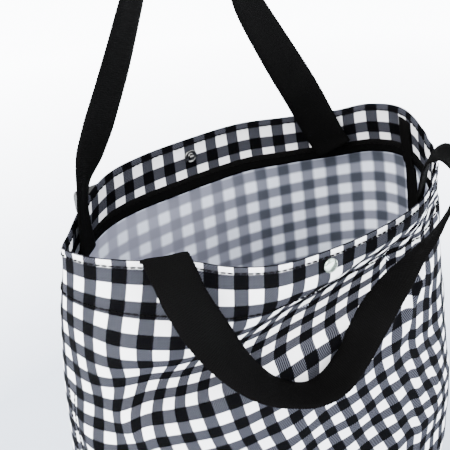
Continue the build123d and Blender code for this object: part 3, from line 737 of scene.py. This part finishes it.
FRONT_HANDLE = [((-99, -42, -38), (0.93, -0.37, 0.0)), ((-100, -45, -6), (0.93, -0.37, 0.0)),
                ((-101, -49, 7), (0.93, -0.37, 0.0)), ((-102, -56, 9), (0.93, -0.37, 0.0)),
                ((-103, -66, 3), (0.95, -0.25, 0.0)), ((-103, -78, -9), (0.97, -0.05, 0.1)),
                ((-98, -92, -28), (0.87, 0.1, 0.4)), ((-89, -103, -48), (0.8, 0.5, 0.25)),
                ((-76, -109, -67), (0.65, 0.72, 0.1)), ((-57, -112, -85), (0.45, 0.88, -0.1)),
                ((-34, -114, -97), (0.25, 0.95, -0.1)), ((-14, -114, -95), (0.1, 1.0, 0.0)),
                ((2, -114, -79), (0.03, 1.0, 0.04)), ((20, -113, -57), (0.0, 1.0, 0.05)),
                ((37, -112, -41), (0.11, 0.98, -0.14)), ((57, -109, -29), (0.4, 0.84, -0.34)),
                ((82, -104, -19), (0.56, 0.68, -0.48)), ((101, -98, -9), (0.62, 0.62, -0.48)),
                ((114, -90, 4), (0.75, 0.5, -0.3)), ((117, -79, 15), (0.85, 0.5, -0.05)),
                ((114, -68, 15), (0.85, 0.5, 0.0)), ((111, -61, 2), (0.83, 0.55, 0.0)),
                ((109, -57, -38), (0.8, 0.6, 0.0))]
WEB_WIDTH, WEB_THICK = 30.0, 2.2


def webbing(name, stations, node):
    """A webbing handle: a flat band that twists, with thin edges and a slightly wavy selvedge."""
    count = 420
    places = np.array([c for c, _ in stations], float)
    centre = smooth_path(places, count)
    steps = np.r_[0, np.cumsum(np.linalg.norm(np.diff(places, axis=0), axis=1))]
    at = np.linspace(0, steps[-1], count)
    across = np.stack([np.interp(at, steps, [a[k] for _, a in stations]) for k in range(3)], 1)
    for _ in range(12):
        across[1:-1] = (across[:-2] + 2 * across[1:-1] + across[2:]) / 4
    tangent = np.gradient(centre, axis=0)
    tangent /= np.linalg.norm(tangent, axis=1, keepdims=True)
    across -= tangent * (across * tangent).sum(1, keepdims=True)
    across /= np.linalg.norm(across, axis=1, keepdims=True)
    normal = np.cross(tangent, across)
    length = np.linalg.norm(np.diff(centre, axis=0), axis=1).sum()
    travel = np.linspace(0, length, count)
    profile = [(-0.5 + k / 8, 0.5) for k in range(9)] + [(0.5 - k / 8, -0.5) for k in range(9)]
    rings = []
    for w, t in profile:
        edge = abs(w) > 0.49
        wave = 0.28 * np.sin(travel * 2 * pi / 2.7) * (np.sign(w) if edge else 0.0)
        thick = t * WEB_THICK * (0.55 if edge else 1.0) * (1 - 0.12 * cos(2 * pi * w * 2))
        rings.append(centre + across * (w * WEB_WIDTH + wave)[:, None] + normal * thick)
    verts = place(np.vstack(rings))
    faces = grid_faces(len(rings), count, closed_rows=True)
    corners = []
    for index in range(len(faces)):
        i, j = divmod(index, count - 1)
        a, b = (profile[k][0] * WEB_WIDTH for k in (i, (i + 1) % len(rings)))
        corners.extend([(travel[j], a), (travel[j + 1], a), (travel[j + 1], b), (travel[j], b)])
    for end in (0, count - 1):
        faces.append(tuple(i * count + end for i in range(len(rings))))
        corners.extend([(0.0, 0.0)] * len(rings))
    obj = new_piece(name, verts, faces, [WEBBING], None, corners)
    tidy_normals(obj)
    soft(obj, node, slot="webbing")


# snap outlines: distance along the axis and radius
CAP = [(-0.4, 5.0), (0.5, 5.5), (1.0, 5.5), (1.7, 5.0), (2.2, 4.0), (2.5, 2.4), (2.6, 0.8),
       (2.62, 0.0)]
SOCKET = [(-0.2, 5.4), (0.8, 5.6), (1.8, 5.2), (2.3, 4.2), (2.3, 2.6), (1.2, 2.3), (1.0, 0.0)]
STUD = [(-0.2, 5.3), (0.7, 5.5), (1.3, 5.2), (1.5, 4.6), (1.0, 4.2), (0.7, 3.4), (0.8, 2.4),
        (1.6, 2.1), (3.2, 2.2), (3.8, 1.8), (4.1, 0.9), (4.15, 0.0)]
POST = [(-0.3, 5.6), (0.6, 5.9), (1.2, 5.5), (1.5, 4.0), (1.6, 0.0)]


def turned(name, outline, centre, axis, material, node, slot):
    """A turned snap piece, from its outline in millimetres."""
    axis = Vector(axis).normalized()
    side_a = axis.orthogonal().normalized()
    side_b = axis.cross(side_a)
    around = 40
    verts, faces = [], []
    for along_axis, radius in outline:
        for q in range(around):
            angle = 2 * pi * q / around
            verts.append(Vector(centre) + axis * along_axis
                         + (side_a * cos(angle) + side_b * sin(angle)) * max(radius, 0.02))
    last = (len(outline) - 1) * around
    for ring in range(0, last, around):
        for q in range(around):
            p, w = ring + q, ring + (q + 1) % around
            faces.append((p, w, w + around, p + around))
    faces.append(tuple(reversed(range(around))))
    faces.append(tuple(last + q for q in range(around)))
    corners = [(0.0, 0.0)] * sum(len(f) for f in faces)
    obj = new_piece(name, place([tuple(v) for v in verts]), faces, [material], None, corners)
    tidy_normals(obj)
    soft(obj, node, slot=slot)


def snap():
    """Cap and socket on the front, stud and post on the back."""
    def seat(side, s, d):
        """A place on the outside, the one behind it on the inside, and the way out."""
        out, inside = wall(side, s, d, 0.0), wall(side, s, d, WALL + 1.0)
        return out, inside, Vector(out - inside).normalized()

    out, inside, push = seat(-1, 189.5, 12.5)
    turned("front_snap_cap", CAP, out, push, PEARL, "snap_cap", "pearl_cap")
    turned("front_snap_socket", SOCKET, inside, -push, SNAP_METAL, "snap_socket", "snap_metal")
    out, inside, push = seat(1, 193.0, 15.5)
    turned("back_snap_stud", STUD, inside, -push, SNAP_METAL, "snap_stud", "snap_metal")
    turned("back_snap_post", POST, out, push, SNAP_METAL, "snap_post", "snap_metal")


def spring():
    """The coil under the release button."""
    low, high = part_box("button_spring")
    wire = 0.0004            # the wire's radius, in metres
    middle = (low + high) / 2
    radius = (high.x - low.x) / 2 - wire
    turns, steps, around = 6, 24, 8
    count = turns * steps + 1
    verts, faces = [], []
    for k in range(count):
        angle = 2 * pi * k / steps
        rise = low.z + wire + (high.z - low.z - 2 * wire) * k / (count - 1)
        for q in range(around):
            tilt = 2 * pi * q / around
            r = radius + wire * cos(tilt)
            verts.append((middle.x + r * cos(angle), middle.y + r * sin(angle),
                          rise + wire * sin(tilt)))
    for k in range(count - 1):
        for q in range(around):
            a, b = k * around + q, k * around + (q + 1) % around
            faces.append((a, b, b + around, a + around))
    faces.append(tuple(range(around)))
    faces.append(tuple(reversed(range((count - 1) * around, count * around))))
    obj = new_piece("button_coil_spring", verts, faces, [STEEL])
    tidy_normals(obj)
    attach(obj, "inner_stage")
    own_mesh(obj)
    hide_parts("button_spring")


# ------------------------------------------------------------ the bag and the spring, built
panel(-1, "bag_front", ["front_panel", "front_facing"])
panel(1, "bag_back", ["back_panel", "back_facing"])
rim_bindings()
rim_stitches()
bottom()
webbing("back_webbing_handle", BACK_HANDLE, "back_handle")
webbing("front_webbing_handle", FRONT_HANDLE, "front_handle")
snap()
spring()


# ------------------------------------------------------------ frame and running gear
FINISHES = {
    "aluminium_tube": ALUMINIUM, "steel": STEEL, "painted_steel": BLACK_STEEL,
    "tyre_rubber": RUBBER, "foot_rubber": RUBBER, "hub_plastic": GREY_PLASTIC,
    "bush_plastic": BUSH_PLASTIC, "button_plastic": BUTTON_PLASTIC, "black_plastic": PLASTIC,
    "board": BOARD, "webbing": WEBBING, "gingham": CLOTH, "binding_tape": TAPE,
    "pearl_cap": PEARL, "snap_metal": SNAP_METAL,
}
for row in frame["record"]["subparts"]:
    node = frame["nodes"][row["node"]]
    node.data.materials.clear()
    node.data.materials.append(FINISHES[row["material_slot"]])


# ------------------------------------------------------------ floor, light and camera
def floor():
    """A plain pale floor, which gives off light at a distance so that the background is white."""
    radii, around = (0.0, 1.0, 3.0, 9.0, 27.0, 80.0), 48
    verts = [(r * cos(2 * pi * k / around), r * sin(2 * pi * k / around), 0.0)
             for r in radii for k in range(around)]
    faces = []
    for i in range(0, (len(radii) - 1) * around, around):
        for k in range(around):
            n = (k + 1) % around
            faces.append((i + k, i + around + k, i + around + n, i + n))
    mesh = bpy.data.meshes.new("studio_floor")
    mesh.from_pydata(verts, [], faces)
    g = Graph("floor_white")
    tone = g.noise(0.8, 2.0, g.position())
    g.wire("Base Color", g.mix(tone, (0.6, 0.66, 0.76, 1), (0.66, 0.71, 0.8, 1)))
    spot = g.add("ShaderNodeVectorMath", {0: g.position()}, operation="LENGTH").outputs["Value"]
    glow = g.spread(spot, 0.0, 9.0, (0.45, 1.6))
    far = g.spread(spot, 1.0, 0.1, (3.5, 12.0))
    g.wire("Emission Strength", g.math("MULTIPLY", glow, far))
    g.set(Roughness=0.9, Specular_IOR_Level=0.1, Emission_Color=(1, 1, 1, 1))
    mesh.materials.append(g.material)
    obj = bpy.data.objects.new("studio_floor", mesh)
    bpy.context.collection.objects.link(obj)


def area_light(name, spot, aim, size, power, colour=(1, 1, 1)):
    """A soft square light that points at a place."""
    data = bpy.data.lights.new(name, "AREA")
    data.shape, data.size, data.energy, data.color = "SQUARE", size, power, colour
    obj = bpy.data.objects.new(name, data)
    obj.location = spot
    obj.rotation_euler = (Vector(aim) - Vector(spot)).to_track_quat("-Z", "Y").to_euler()
    bpy.context.collection.objects.link(obj)


# the camera's angles, and its place from the rim's centre in metres, from the same fit as the rim
CAMERA_ANGLES = (-29.83, 32.21, -5.06)
CAMERA_PLACE = (-0.3012, -0.4801, 0.3261)


def camera():
    """The viewpoint, from the bag's left front and above it."""
    azimuth, elevation, roll = (radians(a) for a in CAMERA_ANGLES)
    back = Vector((sin(azimuth) * cos(elevation), -cos(azimuth) * cos(elevation), sin(elevation)))
    right = (-back).cross(Vector((0, 0, 1))).normalized()
    up = right.cross(-back)
    right, up = right * cos(roll) + up * sin(roll), up * cos(roll) - right * sin(roll)
    data = bpy.data.cameras.new("camera")
    data.sensor_width, data.lens = 36.0, 72.0
    data.clip_start = 0.01
    obj = bpy.data.objects.new("camera", data)
    turn = Matrix((right, up, back)).transposed().to_4x4()
    obj.matrix_world = Matrix.Translation(RIM_CENTRE + Vector(CAMERA_PLACE)) @ turn
    bpy.context.collection.objects.link(obj)
    bpy.context.scene.camera = obj


floor()
AIM = RIM_CENTRE - Vector((0, 0, 0.1))
area_light("key", (-1.4, -0.6, 1.9), AIM, 1.6, 130.0, (1.0, 0.99, 0.97))
area_light("fill", (1.2, -1.6, 1.3), AIM, 1.6, 40.0, (0.93, 0.96, 1.0))
area_light("back_light", (-0.4, 1.8, 2.0), AIM, 1.8, 50.0, (0.95, 0.97, 1.0))
WORLD = bpy.data.worlds.new("studio")
WORLD.use_nodes = True
WORLD.node_tree.nodes["Background"].inputs[0].default_value = (0.95, 0.97, 1.0, 1)
WORLD.node_tree.nodes["Background"].inputs[1].default_value = 3.0
bpy.context.scene.world = WORLD
camera()
